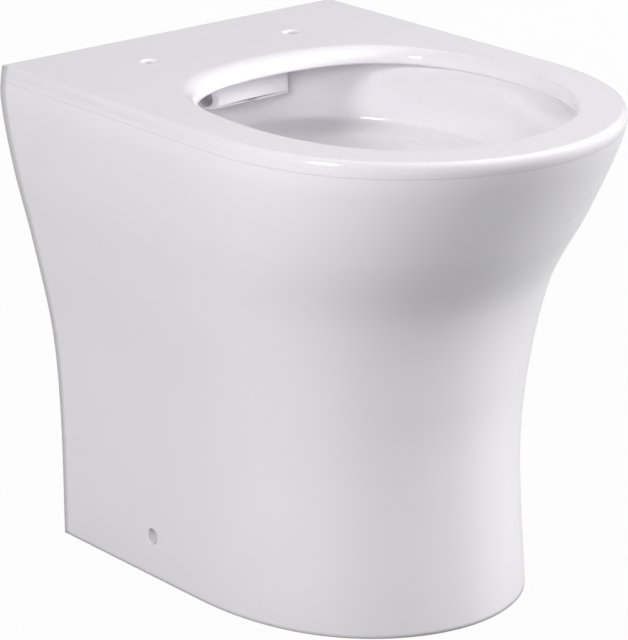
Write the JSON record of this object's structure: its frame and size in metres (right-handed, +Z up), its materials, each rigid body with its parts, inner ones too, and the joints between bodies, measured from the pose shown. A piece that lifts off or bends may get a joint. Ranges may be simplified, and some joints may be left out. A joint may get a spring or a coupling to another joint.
{
  "type": "back-to-wall toilet pan",
  "caption": "Floor-standing back-to-wall toilet pan with a rimless oval bowl, flat rear deck with seat hinge holes, flush distributor, concealed trap and side fixings.",
  "frame": {"origin": "floor level, under the middle of the pan's footprint in plan", "axes": "+Z up, +Y towards the wall behind the pan, -Y is the front, +X the pan's own left"},
  "size_m": [0.3696, 0.5589, 0.455],
  "materials": {
    "glazed_ceramic": "white vitreous china with a clear gloss glaze",
    "bracket_steel": "bright zinc plated pressed steel",
    "bush_nylon": "natural nylon",
    "seal_rubber": "black moulded rubber"
  },
  "bodies": {
    "root": {"bowl": "glazed_ceramic", "bracket_bush_left": "bush_nylon", "bracket_bush_right": "bush_nylon", "fixing_boss_left": "glazed_ceramic", "fixing_boss_right": "glazed_ceramic", "fixing_bracket_left": "bracket_steel", "fixing_bracket_right": "bracket_steel", "flush_distributor": "glazed_ceramic", "flush_duct": "glazed_ceramic", "front_web": "glazed_ceramic", "inlet_seal": "seal_rubber", "inlet_socket": "glazed_ceramic", "outlet_spigot": "glazed_ceramic", "rear_panel": "glazed_ceramic", "rim_deck": "glazed_ceramic", "side_web_left": "glazed_ceramic", "side_web_right": "glazed_ceramic", "skirt_front": "glazed_ceramic", "skirt_side_left": "glazed_ceramic", "skirt_side_right": "glazed_ceramic", "sump": "glazed_ceramic", "trap_crown": "glazed_ceramic", "trap_fall": "glazed_ceramic", "trap_foot": "glazed_ceramic", "trap_rise": "glazed_ceramic"}
  },
  "joints": []
}
